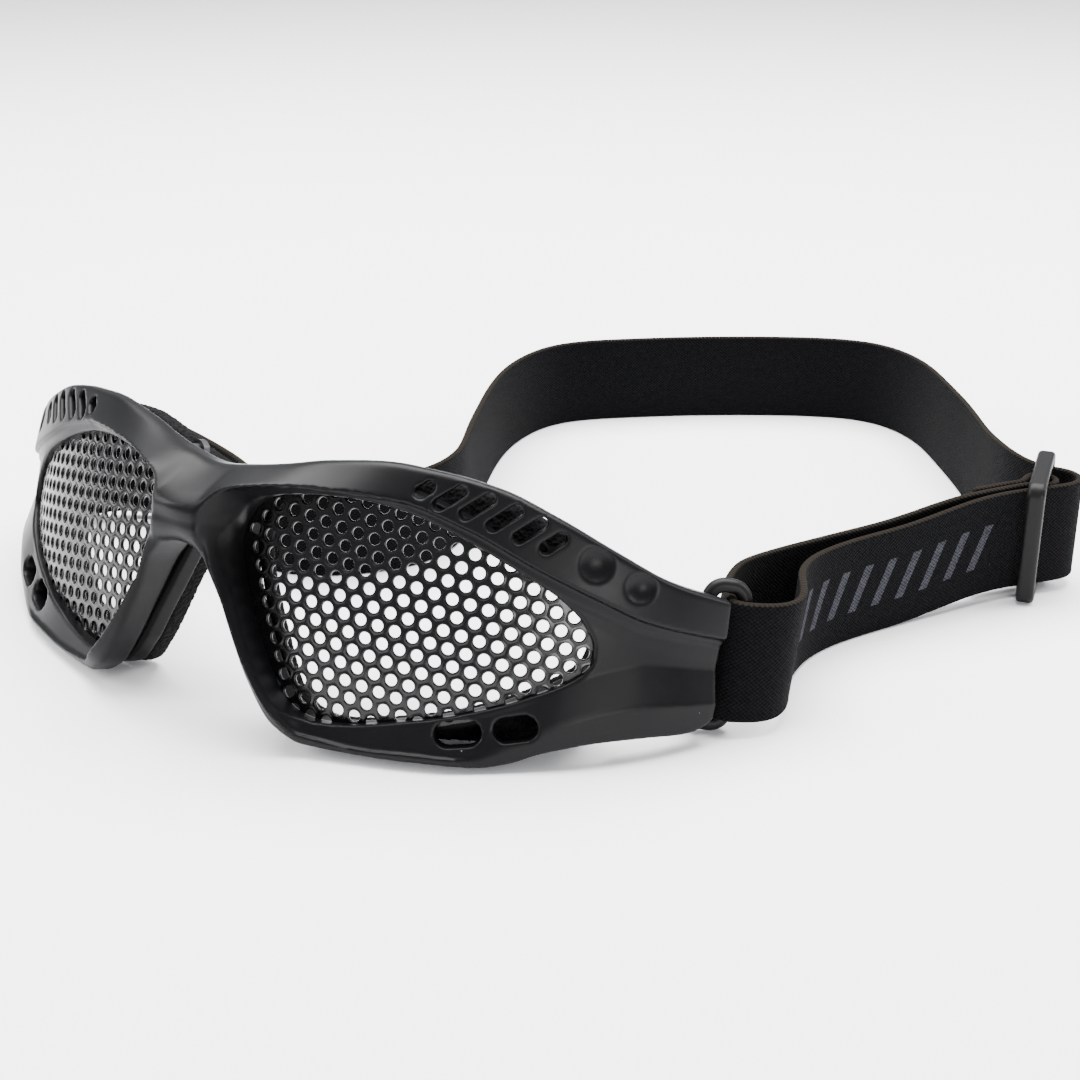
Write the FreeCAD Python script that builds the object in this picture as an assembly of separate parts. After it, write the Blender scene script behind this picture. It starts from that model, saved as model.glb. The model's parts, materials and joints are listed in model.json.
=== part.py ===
import FreeCAD, Part
import math
import os
from FreeCAD import Vector

# Sports protective goggles with perforated steel lenses, millimetres.
# The frame is drawn in its own upright "face" coordinates: s runs along the wrapped front from the
# nose, z is up and d is outwards from the lens surface. It is then leaned back until it stands on
# its cheeks. +Z is up, the front faces -Y and the wearer's left is +X.

# driving dimensions
WRAP_LINEAR = 0.00858           # front wrap: tangent angle in radians = linear * s + cubic * s^3
WRAP_CUBIC = 0.506e-6
DOME_RADIUS = 136.0             # vertical curve of the lens surface
DOME_MIDDLE = 15.0              # height of its foremost point
LEAN_BACK = 17.5                # degrees, the frame standing on its cheeks
CHEEK_DROP = 7.5                # the cheeks' lowest point below the face origin
LENS_THICKNESS = 0.6
LENS_LAP = 1.5                  # how far the lens goes behind the frame's lip
HOLE_PITCH = 3.0
HOLE_RADIUS = 1.03
HOLE_ROW_ANGLE = -6.6           # degrees, the hole rows slope down towards the temple
FRAME_BACK = -0.7               # d of the face that the retainers close
TEMPLE_BACK = -1.6
TEMPLE_END = 89.6               # s of the temple's end
RETAINER_DEPTH = 4.4
RETAINER_WIDTH = 2.9
FOAM_DEPTH = 4.0
PAD_TOP_INSET = 2.2             # the foam's edge inside the frame's outline
PAD_BOTTOM_INSET = 1.2
PAD_STATIONS = (4, 8, 14, 20, 27, 34, 41, 49, 56, 62, 67, 70.5)
RING_GROUND_CLEARANCE = 1.0     # the retainer and the foam end this far above the table
SCREW_RADIUS = 1.0
SCREW_HEAD_RADIUS = 1.7
STRAP_WIDTH = 20.0
STRAP_THICKNESS = 1.4
ROD_RADIUS = 1.25               # strap loop
LOOP_HALF_HEIGHT = 11.6         # from the loop's middle to the centre of either arm
LOOP_MIDDLE = 18.5              # z of the loop's middle
LOOP_PIVOT = (72.2, 39.7)       # the swivel axis, x and y in face coordinates
LOOP_BAR = (77.0, 43.3)         # the bar that the strap goes round
TRUNNION_RADIUS = 0.95
KNUCKLE_RADIUS = 2.2
KNUCKLE_HALF_HEIGHT = 8.2
RUNNING_CLEARANCE = 0.05
SLIDER_CENTRE = (100.0, 127.6)  # the slider's middle bar, x and y on the table
SLIDER_ANGLE = 103.5            # degrees, the direction of its long side in plan
SLIDER_LENGTH = 22.5
SLIDER_HEIGHT = 24.4
SLIDER_THICKNESS = 2.2
SLIDER_RAIL = 2.5               # width of its legs
SLIDER_LIFT = 2.2               # the strap stands this high in the slider
LOOP_LIFT = 2.1                 # and this much higher than on the table at the loops
ROUTE_BAR_Y = 46.2              # y of the loops' bars at half the strap's width above the table
STITCHES_PER_ROW = 8
STITCH_SPAN = 14.3              # from the first stitch of a row to its last
STITCH_LENGTH = 1.3
STITCH_CLEARANCE = 0.16
THREAD_WIDTH = 0.4
THREAD_THICKNESS = 0.3

# rails of the frame's left half, each (s, z, d), from the nose to the temple
BROW_TOP = [(0, 36.0, 3.2), (7, 37.0, 3.2), (12, 38.1, 2.3), (20, 40.2, 1.5), (33, 42.0, 1.6),
            (41, 41.8, 2.0), (49, 40.9, 2.4), (59, 37.9, 2.6), (69, 34.0, 2.7), (79, 30.3, 2.7),
            (90, 28.2, 2.6)]
BROW_RIDGE = [(0, 29.5, 12.0), (3.8, 30.0, 11.4), (6.2, 32.6, 10.1), (10, 34.2, 8.9),
              (20, 36.0, 5.7), (33, 36.5, 3.3), (45, 34.1, 2.6), (57, 29.8, 2.6), (67, 26.5, 2.7),
              (75, 24.0, 2.7), (90, 22.0, 2.6)]
LOWER_RIDGE = [(0, 23.6, 8.8), (3.8, 23.2, 9.1), (6.2, 20.9, 8.9), (9.4, 14.2, 6.9),
               (14.4, 5.5, 6.6), (19, -0.4, 6.4), (24, -4.0, 4.6), (32, -4.2, 3.9),
               (42, -3.2, 3.8), (51, -2.3, 3.8), (57, 0.2, 3.7), (64, 5.1, 3.6), (70, 8.0, 3.5),
               (77, 10.1, 3.4), (90, 11.4, 3.3)]
BOTTOM_EDGE = [(0, 22.8, 7.6), (3.8, 22.2, 7.8), (6.2, 19.4, 7.6), (9.4, 12.6, 5.6),
               (14.4, 2.6, 5.0), (19, -3.4, 4.6), (24, -5.7, 3.4), (34, -5.3, 2.9),
               (44, -4.4, 2.9), (52, -3.5, 2.9), (57, -2.0, 2.9), (62, 0.5, 2.8), (71, 3.5, 2.8),
               (78, 4.9, 2.7), (86, 6.2, 2.6), (90, 8.7, 2.6)]
# outline of the left lens opening, each (s, z)
EYE = [(6.4, 26.0), (9.2, 31.4), (16, 34.0), (25, 35.2), (34, 34.8), (42, 33.0), (49, 30.6),
       (56, 27.8), (61, 25.4), (65, 22.4), (67.6, 18.4), (66.4, 14.0), (57, 8.2), (47, 3.9),
       (39, 1.4), (31, -0.8), (24, -1.5), (19, 0.4), (14.6, 6.1), (10.6, 13.6), (7.3, 21.0)]
EYE_TURN = 18.0                 # degrees in plan of the direction that the opening is cut in
# brow slots: s, z of the middle and the length; cheek vents: s, z, length, height, slope
BROW_SLOTS = [(37.2, 38.8, 3.6), (41.4, 38.3, 6.2), (45.9, 37.7, 6.5), (50.4, 36.7, 6.5),
              (54.6, 35.5, 6.2), (58.4, 34.1, 4.8)]
BROW_SLOT_WIDTH = 2.0
BROW_SLOT_SLOPE = 41.0
CHEEK_VENTS = [(48.6, 1.5, 7.5, 4.2, 14.0), (57.4, 3.9, 7.0, 4.0, 17.0)]
DIMPLES = [(65.5, 31.8, 2.9), (73.0, 29.1, 2.6)]
DIMPLE_DEPTH = 0.8
SCREW_PLACES = [(11.2, 36.0), (29.5, 38.2), (56, 31.4), (64.2, 7.7)]

# the strap's route at mid height, x and y on the table, from its sewn end at the right loop, round
# the back of the head, through the slider, round the left loop and back to the slider
STRAP_ROUTE = [(-58.2, 59.75), (-65.7, 59.5), (-71.6, 56.2), (-74.2, 51.2), (-74.6, 47.4), (-75.3, 44.4),
               (-77.0, 43.7), (-78.7, 44.4), (-79.4, 46.4), (-78.2, 51.6), (-73.3, 57.8), (-66.0, 61.1),
               (-58.0, 61.3), (-47, 59), (-37, 55), (-28, 51.8), (-18.5, 54.6), (-9.2, 63.2),
               (-4.6, 73), (-5.4, 84), (-10.8, 95.5), (-17.4, 109), (-24.4, 125), (-28.3, 140),
               (-26.6, 155), (-16, 167.2), (-1.2, 179), (19, 191.8), (36, 197), (50, 190.8),
               (61, 179), (71, 166.4), (81, 151.6), (88.4, 141), (94, 136.2), (98.6, 134.5),
               (102.6, 134.6), (105.6, 132.8), (106.0, 129.4), (103.7, 125.6), (100.3, 121.4),
               (96.4, 116.0), (91.4, 107), (86.2, 97.4), (81.0, 87), (77.9, 77.5), (77.8, 70.5),
               (79.7, 63.5), (82.6, 57.2), (84.0, 52.2), (82.7, 47.8), (79.2, 44.3),
               (77.0, 43.7), (75.1, 44.5), (74.3, 46.3), (72.0, 49.4), (69.8, 55.5), (68.7, 62.5),
               (69.4, 69), (71.8, 76.4), (76.6, 86.4), (82.0, 97.0), (87.4, 106.6),
               (92.6, 114.6), (97.2, 121.6), (100.0, 124.95), (101.95, 125.95), (102.6, 128.2),
               (101.2, 130.0), (98.9, 130.0), (97.3, 128.2), (97.3, 125.1), (95.5, 122.2),
               (93.2, 118.7), (91.1, 115.5)]
STRAP_TURN_STEP = 16.0          # degrees of turn from one section of the strap to the next
STRAP_LONGEST_STEP = 10.0


def plan(s):
    """Point of the lens surface's plan curve at arc length s, and its tangent angle."""
    steps = 48
    step = s / steps
    x = y = 0.0
    for i in range(steps):
        mid = (i + 0.5) * step
        angle = WRAP_LINEAR * mid + WRAP_CUBIC * mid ** 3
        x += math.cos(angle) * step
        y += math.sin(angle) * step
    return x, y, WRAP_LINEAR * s + WRAP_CUBIC * s ** 3


def on_face(s, z, d):
    """Point at arc length s, height z and distance d outwards from the domed lens surface."""
    x, y, angle = plan(s)
    out = d - (z - DOME_MIDDLE) ** 2 / (2 * DOME_RADIUS)
    return Vector(x + math.sin(angle) * out, y - math.cos(angle) * out, z)


def outward(s):
    angle = plan(s)[2]
    return Vector(math.sin(angle), -math.cos(angle), 0)


def rail_at(rail, s):
    """Height and distance of a rail at arc length s, by straight runs between its points."""
    s = abs(s)
    for (s0, z0, d0), (s1, z1, d1) in zip(rail, rail[1:]):
        if s <= s1:
            t = (s - s0) / (s1 - s0)
            return z0 + (z1 - z0) * t, d0 + (d1 - d0) * t
    return rail[-1][1:]


def mirrored(shape):
    return shape.mirror(Vector(0, 0, 0), Vector(1, 0, 0))


def stand_up(shape):
    """Leans a shape drawn in face coordinates back, on to the table at z = 0."""
    placed = shape.copy()
    placed.rotate(Vector(0, 0, 0), Vector(1, 0, 0), -LEAN_BACK)
    placed.translate(Vector(0, 0, CHEEK_DROP))
    return placed


def trimmed_above_table(shape):
    """Cuts a ring's lower edge level, so that the frame's cheeks alone touch the table."""
    return shape.cut(Part.makeBox(300, 300, 50, Vector(-150, -150, RING_GROUND_CLEARANCE - 50)))


def eye_edges(s):
    """Lowest and highest z of the lens opening at arc length s."""
    crossings = []
    for (s0, z0), (s1, z1) in zip(EYE, EYE[1:] + EYE[:1]):
        if min(s0, s1) <= s < max(s0, s1):
            crossings.append(z0 + (z1 - z0) * (s - s0) / (s1 - s0))
    return min(crossings), max(crossings)


def frame_section(s):
    """Closed outline of the front frame in the upright plane at arc length s."""
    side = abs(s)
    top_z, top_d = rail_at(BROW_TOP, s)
    ridge_z, ridge_d = rail_at(BROW_RIDGE, s)
    low_z, low_d = rail_at(LOWER_RIDGE, s)
    end_z, end_d = rail_at(BOTTOM_EDGE, s)
    back = FRAME_BACK if side < 67 else TEMPLE_BACK
    if side < 5:
        upper_z, lower_z, dish_d = ridge_z - 2.2, low_z + 2.2, 10.6
    elif side < 67:
        lower_z, upper_z = eye_edges(side)
        dish_d = 1.0
    else:
        upper_z, lower_z, dish_d = ridge_z - 2.0, low_z + 2.0, 1.1
    profile = [(top_z, back), (top_z, top_d), (ridge_z, ridge_d), (ridge_z - 0.5, ridge_d - 0.9),
               (upper_z, dish_d), (lower_z, dish_d), (low_z + 0.5, low_d - 0.9), (low_z, low_d),
               (end_z, end_d), (end_z, back)]
    points = [on_face(s, z, d) for z, d in profile]
    return Part.makePolygon(points + points[:1])


def band(sections):
    return Part.makeLoft(sections, True, True)


def eye_prism(grow):
    """Solid that cuts or trims along the left eye's opening, grown by a distance."""
    turn = math.radians(EYE_TURN)
    along = Vector(math.cos(turn), math.sin(turn), 0)
    out = Vector(math.sin(turn), -math.cos(turn), 0)
    flat = []
    for s, z in EYE:
        flat.append((on_face(s, z, 0.8).dot(along), z))
    grown = []
    for before, here, after in zip(flat[-1:] + flat[:-1], flat, flat[1:] + flat[:1]):
        run_a, run_z = after[0] - before[0], after[1] - before[1]
        length = math.hypot(run_a, run_z)
        a = here[0] - run_z / length * grow
        z = here[1] + run_a / length * grow
        grown.append(along * a + Vector(0, 0, z) - out * 40)
    curve = Part.BSplineCurve()
    curve.interpolate(Points=grown, PeriodicFlag=True)
    return Part.Face(Part.Wire(curve.toShape())).extrude(out * 80)


def sheet(low, high):
    """Domed sheet over the left eye, between the distances low and high."""
    sections = []
    for s in (-3, 8, 19, 30, 41, 52, 63, 74):
        outer = Part.Arc(*(on_face(s, z, high) for z in (-10, 16, 42))).toShape()
        inner = Part.Arc(*(on_face(s, z, low) for z in (42, 16, -10))).toShape()
        top = Part.makeLine(on_face(s, 42, high), on_face(s, 42, low))
        bottom = Part.makeLine(on_face(s, -10, low), on_face(s, -10, high))
        sections.append(Part.Wire([outer, top, inner, bottom]))
    return Part.makeLoft(sections, True, False)


def stadium(s, z, length, width, slope, depth):
    """Round-ended cutter through the face at s, z, with its length at a slope."""
    half = (length - width) / 2
    bar = Part.makeBox(2 * half, width, depth, Vector(-half, -width / 2, -depth / 2))
    ends = [Part.makeCylinder(width / 2, depth, Vector(x, 0, -depth / 2)) for x in (-half, half)]
    cutter = bar.fuse(ends)
    cutter.rotate(Vector(0, 0, 0), Vector(0, 0, 1), slope)
    return facing(cutter, s, z, 0)


def facing(shape, s, z, d):
    """Puts a shape drawn about its own z axis on the face, its z axis pointing outwards."""
    angle = math.degrees(plan(s)[2])
    shape.rotate(Vector(0, 0, 0), Vector(1, 0, 0), 90)
    shape.rotate(Vector(0, 0, 0), Vector(0, 0, 1), angle)
    shape.translate(on_face(s, z, d))
    return shape


def knuckle():
    """Barrel inside the temple's end that the strap loop swivels in, with its web."""
    middle = Vector(LOOP_PIVOT[0], LOOP_PIVOT[1], LOOP_MIDDLE - KNUCKLE_HALF_HEIGHT)
    barrel = Part.makeCylinder(KNUCKLE_RADIUS, 2 * KNUCKLE_HALF_HEIGHT, middle)
    web = Part.makeBox(3.4, 3.0, 2 * KNUCKLE_HALF_HEIGHT, Vector(-0.2, -2.0, 0))
    web.rotate(Vector(0, 0, 0), Vector(0, 0, 1), -25)
    web.translate(middle)
    bore = Part.makeCylinder(TRUNNION_RADIUS + RUNNING_CLEARANCE, 60, middle - Vector(0, 0, 20))
    return barrel.fuse(web), bore


def front_frame():
    stations = [0, 3.8, 6.5, 8, 10, 12.5, 15, 19, 24, 29, 34, 39, 44, 49, 54, 59, 64, 66.8, 68.5,
                74, 80, 85, TEMPLE_END]
    both = [-s for s in reversed(stations[1:])] + stations
    frame = band([frame_section(s) for s in both])
    pocket = sheet(-3, FRAME_BACK + LENS_THICKNESS + 0.1).common(eye_prism(LENS_LAP + 0.3))
    cutters = [eye_prism(0), pocket, sheet(-8, FRAME_BACK)]
    for s, z, length in BROW_SLOTS:
        cutters.append(stadium(s, z, length, BROW_SLOT_WIDTH, BROW_SLOT_SLOPE, 24))
    for s, z, length, height, slope in CHEEK_VENTS:
        cutters.append(stadium(s, z, length, height, slope, 24))
    for s, z, radius in DIMPLES:
        ball = (radius ** 2 + DIMPLE_DEPTH ** 2) / (2 * DIMPLE_DEPTH)
        surface = rail_at(BROW_TOP, s)[1]
        centre = on_face(s, z, surface + ball - DIMPLE_DEPTH)
        cutters.append(Part.makeSphere(ball, centre))
    barrel, bore = knuckle()
    for s, z in SCREW_PLACES:
        cutters.append(facing(Part.makeCylinder(SCREW_RADIUS, 2.4, Vector(0, 0, -1.2)), s, z, 0))
    for cutter in cutters:
        frame = frame.cut(cutter).cut(mirrored(cutter))
    frame = frame.fuse([barrel, mirrored(barrel)])
    return frame.cut([bore, mirrored(bore)]).removeSplitter()


def hole_places():
    """Hexagonal grid of hole centres that lie wholly inside the left opening."""
    turn = math.radians(HOLE_ROW_ANGLE)
    places = []
    for row in range(-14, 15):
        for column in range(-16, 17):
            a = HOLE_PITCH * (column + row / 2)
            b = HOLE_PITCH * math.sqrt(3) / 2 * row
            s = 40.6 + a * math.cos(turn) - b * math.sin(turn)
            z = 17.6 + a * math.sin(turn) + b * math.cos(turn)
            if 5 < s < 69 and inside_eye(s, z):
                places.append((s, z))
    return places


def inside_eye(s, z):
    try:
        low, high = eye_edges(s)
    except ValueError:
        return False
    return low - 0.2 < z < high + 0.2


def mesh_lens():
    top = FRAME_BACK + LENS_THICKNESS
    blank = sheet(FRAME_BACK, top).common(eye_prism(LENS_LAP))
    drills = []
    for s, z in hole_places():
        drills.append(Part.makeCylinder(HOLE_RADIUS, 4, on_face(s, z, -2), outward(s)))
    return blank.cut(drills)


def nose_notch():
    """Space kept clear for the nose behind the frame's ridge."""
    outline = [(-3.6, 23.0), (3.6, 23.0), (5.2, 19.8), (8.4, 12.6), (13.4, 2.6), (18, -4),
               (19, -20), (-19, -20), (-18, -4), (-13.4, 2.6), (-8.4, 12.6), (-5.2, 19.8)]
    points = [Vector(x, -30, z) for x, z in outline]
    return Part.Face(Part.makePolygon(points + points[:1])).extrude(Vector(0, 60, 0))


def eye_ring(low, high, inner, outer):
    ring = sheet(low, high).common(eye_prism(outer)).cut(eye_prism(inner))
    return ring.cut(nose_notch())


def lens_retainer():
    back = FRAME_BACK - 0.05
    ring = eye_ring(back - RETAINER_DEPTH, back, 0.4, RETAINER_WIDTH)
    for s, z in SCREW_PLACES:
        boss = facing(Part.makeCylinder(2.6, RETAINER_DEPTH, Vector(0, 0, back - RETAINER_DEPTH)),
                      s, z, 0)
        ring = ring.fuse(boss.common(sheet(back - RETAINER_DEPTH, back)))
    for s, z in SCREW_PLACES:
        bore = Part.makeCylinder(SCREW_RADIUS + 0.05, 12, Vector(0, 0, -10))
        sink = Part.makeCylinder(SCREW_HEAD_RADIUS + 0.1, 8, Vector(0, 0, -11.5))
        ring = ring.cut(facing(bore, s, z, 0)).cut(facing(sink, s, z, 0))
    return ring.cut(eye_prism(0.2)).removeSplitter()


def retainer_screws():
    screws = []
    for s, z in SCREW_PLACES:
        shank = Part.makeCylinder(SCREW_RADIUS, 4.6, Vector(0, 0, -3.5))
        head = Part.makeCylinder(SCREW_HEAD_RADIUS, 1.3, Vector(0, 0, -4.8))
        slot_a = Part.makeBox(2.2, 0.5, 0.7, Vector(-1.1, -0.25, -4.8))
        slot_b = Part.makeBox(0.5, 2.2, 0.7, Vector(-0.25, -1.1, -4.8))
        screws.append(facing(shank.fuse(head).cut([slot_a, slot_b]), s, z, 0))
    return Part.makeCompound(screws)


def pad_outline():
    """Solid that trims the foam to the frame's outline, a little way in from its edges."""
    turn = math.radians(EYE_TURN)
    along = Vector(math.cos(turn), math.sin(turn), 0)
    out = Vector(math.sin(turn), -math.cos(turn), 0)
    places = [(s, rail_at(BROW_TOP, s)[0] - PAD_TOP_INSET) for s in PAD_STATIONS]
    places += [(s, rail_at(BOTTOM_EDGE, s)[0] + PAD_BOTTOM_INSET) for s in reversed(PAD_STATIONS)]
    points = [along * on_face(s, z, 0).dot(along) + Vector(0, 0, z) - out * 40 for s, z in places]
    return Part.Face(Part.makePolygon(points + points[:1])).extrude(out * 80)


def foam_gasket():
    """Pad over the frame's whole inner face, behind the retainer and the vents."""
    front = FRAME_BACK - RETAINER_DEPTH - 0.1
    pad = sheet(front - FOAM_DEPTH, front).common(pad_outline()).cut(eye_prism(0.6))
    return pad.cut(nose_notch())


def strap_loop():
    """C-shaped rod: the bar, two arms and the trunnions that turn in the knuckle."""
    pivot = Vector(LOOP_PIVOT[0], LOOP_PIVOT[1], LOOP_MIDDLE)
    bar = Vector(LOOP_BAR[0], LOOP_BAR[1], LOOP_MIDDLE)
    reach = (bar - pivot).Length
    bend = 2.4
    side = math.atan2(bar.y - pivot.y, bar.x - pivot.x)
    top = LOOP_HALF_HEIGHT
    edges = []
    corner = bend * (1 - math.sqrt(0.5))
    start = Vector(0, 0, top - bend)
    arm = Vector(bend, 0, top)
    edges.append(Part.Arc(start, Vector(corner, 0, top - corner), arm).toShape())
    turn = Vector(reach - bend, 0, top)
    edges.append(Part.makeLine(arm, turn))
    down = Vector(reach, 0, top - bend)
    edges.append(Part.Arc(turn, Vector(reach - corner, 0, top - corner), down).toShape())
    upper = Part.Wire(edges)
    disc = Part.Wire(Part.makeCircle(ROD_RADIUS, start, Vector(0, 0, 1)))
    arch = upper.makePipeShell([disc], True, True)
    other = arch.mirror(Vector(0, 0, 0), Vector(0, 0, 1))
    long_bar = Part.makeCylinder(ROD_RADIUS, 2 * (top - bend), Vector(reach, 0, bend - top))
    shape = arch.fuse([other, long_bar])
    for sign in (1, -1):
        foot = Vector(0, 0, sign * (top - bend))
        end = KNUCKLE_HALF_HEIGHT - 3.5
        collar = top - bend - KNUCKLE_HALF_HEIGHT - 0.3
        shape = shape.fuse(Part.makeCylinder(ROD_RADIUS, collar, foot, Vector(0, 0, -sign)))
        pin = Part.makeCylinder(TRUNNION_RADIUS, top - bend - end, foot, Vector(0, 0, -sign))
        shape = shape.fuse(pin)
    shape.rotate(Vector(0, 0, 0), Vector(0, 0, 1), math.degrees(side))
    shape.translate(pivot)
    return shape.removeSplitter()


def smooth(t):
    t = max(0.0, min(1.0, t))
    return t * t * (3 - 2 * t)


def strap_frame(point, tangent):
    """The strap's middle at a plan point of its route, with its upward and sideways directions.

    It leans at the loops, stays square to their bars there, and lifts in the slider.
    """
    loop = math.hypot(abs(point.x) - LOOP_BAR[0], point.y - ROUTE_BAR_Y)
    lean = math.radians(LEAN_BACK) * (1 - smooth((loop - 6) / 30))
    slider = math.hypot(point.x - SLIDER_CENTRE[0], point.y - SLIDER_CENTRE[1])
    behind_bar = max(-3.0, min(1.0, point.y - ROUTE_BAR_Y))
    loop_lift = LOOP_LIFT - behind_bar * math.sin(2 * math.radians(LEAN_BACK)) / 2
    lift = max(SLIDER_LIFT * (1 - smooth((slider - 14) / 24)),
               loop_lift * (1 - smooth((loop - 6) / 24)))
    middle = point + Vector(0, math.tan(lean) * lift, STRAP_WIDTH / 2 + lift)
    up = Vector(0, math.sin(lean), math.cos(lean))
    return middle, up, Vector(-tangent.y, tangent.x, 0).normalize()


def strap_section(point, tangent):
    """Rectangle across the strap."""
    middle, up, across = strap_frame(point, tangent)
    up = up * (STRAP_WIDTH / 2)
    across = across * (STRAP_THICKNESS / 2)
    corners = [middle - up + across, middle + up + across, middle + up - across, middle - up - across]
    return Part.makePolygon(corners + corners[:1])


def head_strap():
    curve = Part.BSplineCurve()
    curve.interpolate(Points=[Vector(x, y, 0) for x, y in STRAP_ROUTE])
    samples = curve.discretize(Number=2400)
    sections = []
    last = None
    travelled = 0.0
    for before, point, after in zip(samples, samples[1:], samples[2:]):
        tangent = (after - before).normalize()
        travelled += (point - before).Length
        turned = 180.0 if last is None else math.degrees(tangent.getAngle(last))
        if turned > STRAP_TURN_STEP or travelled > STRAP_LONGEST_STEP or after is samples[-1]:
            sections.append(strap_section(point, tangent))
            last = tangent
            travelled = 0.0
    print("strap length", round(curve.length(), 1), "sections", len(sections))
    return band(sections)


def strap_slider():
    """Three-bar slider: two legs and a middle bar between two cross rails."""
    length, height, thick = SLIDER_LENGTH, SLIDER_HEIGHT, SLIDER_THICKNESS
    body = Part.makeBox(length, thick, height, Vector(-length / 2, -thick / 2, 0))
    uprights = [e for e in body.Edges if abs(e.tangentAt(0).y) > 0.9]
    body = body.makeFillet(2.0, uprights)
    gap = (length - 2 * SLIDER_RAIL - 2.2) / 2
    for sign in (1, -1):
        middle = sign * (1.1 + gap / 2)
        window = Part.makeBox(gap, thick + 2, height - 3.2,
                              Vector(middle - gap / 2, -thick / 2 - 1, 1.6))
        body = body.cut(window)
    body.rotate(Vector(0, 0, 0), Vector(0, 0, 1), SLIDER_ANGLE)
    body.translate(Vector(SLIDER_CENTRE[0], SLIDER_CENTRE[1], 0))
    return body


def stitch_row(start, end, count):
    """Two rows of thread across the strap's inner face, at two plan points of its route."""
    start, end = Vector(*start, 0), Vector(*end, 0)
    along = (end - start).normalize()
    stitches = []
    for place in (start, end):
        middle, up, across = strap_frame(place, along)
        for i in range(count):
            height = STITCH_SPAN * (i / (count - 1) - 0.5) - STITCH_LENGTH / 2
            foot = middle + up * height + across * (STRAP_THICKNESS / 2 + STITCH_CLEARANCE)
            low = [foot - along * (THREAD_WIDTH / 2), foot + along * (THREAD_WIDTH / 2)]
            high = [point + up * STITCH_LENGTH for point in reversed(low)]
            side = Part.Face(Part.makePolygon(low + high + low[:1]))
            stitches.append(side.extrude(across * THREAD_THICKNESS))
    return stitches


def build():
    left = {
        "mesh_lens": mesh_lens(),
        "lens_retainer": lens_retainer(),
        "retainer_screws": retainer_screws(),
        "foam_gasket": foam_gasket(),
        "strap_loop": strap_loop(),
    }
    nodes = {"front_frame": stand_up(front_frame())}
    for name, shape in left.items():
        for side, placed in (("_left", stand_up(shape)), ("_right", stand_up(mirrored(shape)))):
            if name in ("lens_retainer", "foam_gasket"):
                placed = trimmed_above_table(placed)
            nodes[name + side] = placed
    nodes["head_strap"] = head_strap()
    nodes["strap_slider"] = strap_slider()
    nodes["slider_end_stitching"] = Part.makeCompound(
        stitch_row((92.6, 117.8), (95.0, 121.4), STITCHES_PER_ROW))
    nodes["anchor_end_stitching"] = Part.makeCompound(
        stitch_row((-59.4, 59.7), (-64.2, 59.7), STITCHES_PER_ROW))
    return nodes


def centred(nodes):
    """Moves every node so that the origin is at the middle of the base."""
    box = FreeCAD.BoundBox()
    for shape in nodes.values():
        box.add(shape.optimalBoundingBox(False))
    shift = Vector(-box.Center.x, -box.Center.y, -box.ZMin)
    print("shift", shift, "size", box.XLength, box.YLength, box.ZLength)
    for shape in nodes.values():
        shape.translate(shift)
    return nodes


os.makedirs("parts", exist_ok=True)
for node, solid in centred(build()).items():
    print(node, solid.isValid(), len(solid.Solids), round(solid.Volume, 1))
    solid.exportStep("parts/" + node + ".step")
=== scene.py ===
import json
import math

import bmesh
import bpy
import numpy as np
from mathutils import Matrix, Vector


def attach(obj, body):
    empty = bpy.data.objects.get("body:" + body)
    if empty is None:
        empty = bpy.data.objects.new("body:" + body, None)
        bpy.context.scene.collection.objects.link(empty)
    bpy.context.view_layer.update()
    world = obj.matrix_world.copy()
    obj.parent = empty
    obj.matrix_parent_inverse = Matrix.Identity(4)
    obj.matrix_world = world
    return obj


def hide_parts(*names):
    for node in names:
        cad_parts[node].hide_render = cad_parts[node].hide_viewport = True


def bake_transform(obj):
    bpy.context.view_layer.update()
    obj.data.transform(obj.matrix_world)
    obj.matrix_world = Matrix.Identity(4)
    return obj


with open("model.json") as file:
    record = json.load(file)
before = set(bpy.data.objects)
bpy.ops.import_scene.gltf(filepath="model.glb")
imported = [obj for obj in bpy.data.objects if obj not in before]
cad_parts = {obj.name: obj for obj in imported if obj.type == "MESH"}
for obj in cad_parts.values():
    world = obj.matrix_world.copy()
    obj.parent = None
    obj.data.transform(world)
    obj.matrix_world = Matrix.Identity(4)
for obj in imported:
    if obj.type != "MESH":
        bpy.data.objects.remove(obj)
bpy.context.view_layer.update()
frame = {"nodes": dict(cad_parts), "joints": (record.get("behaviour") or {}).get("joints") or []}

MM = 0.001

# The frame is drawn in upright face coordinates, millimetres: s along the wrapped front from the
# nose, z up, d outwards from the lens surface. It is leaned back and then put on the table. The
# left half is drawn and the right half is its mirror image.
WRAP_LINEAR = 0.00858
WRAP_CUBIC = 0.506e-6
DOME_RADIUS = 136.0
DOME_MIDDLE = 15.0
LEAN_BACK = math.radians(17.5)
CHEEK_DROP = 7.5
LENS_BACK = -0.7
LENS_FRONT = -0.1
RETAINER_BACK, RETAINER_FRONT = -5.1, -0.78
FOAM_BACK, FOAM_FRONT = -9.2, -5.22
TEMPLE_BACK = -1.6
TEMPLE_START = 73.0
TEMPLE_END = 89.6
HOLE_PITCH = 3.0
HOLE_RADIUS = 1.03
PAINT_THICKNESS = 0.06
HOLE_ROW_ANGLE = math.radians(-6.6)
HOLE_ANCHOR = (40.6, 17.6)
LENS_LAP = 1.5                  # how far the lens goes behind the frame's lip
LENS_NOSE_LAP = 0.7             # and how far beside the nose
LAST_HOLE = 0.75                # how far past the opening's edge a hole's centre may be
LAST_NOSE_HOLE = -0.9
LOOP_MIDDLE = 18.5
LOOP_PIVOT = (72.2, 39.7)
LOOP_BAR = (77.0, 43.3)
LOOP_HALF_HEIGHT = 11.6
KNUCKLE_RADIUS = 2.2
KNUCKLE_HALF_HEIGHT = 8.2
ROD_RADIUS = 1.25
STRAP_WIDTH = 20.0
STRAP_THICKNESS = 1.4
SLIDER_CENTRE = (100.0, 127.6)
SLIDER_ANGLE = math.radians(103.5)
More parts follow.
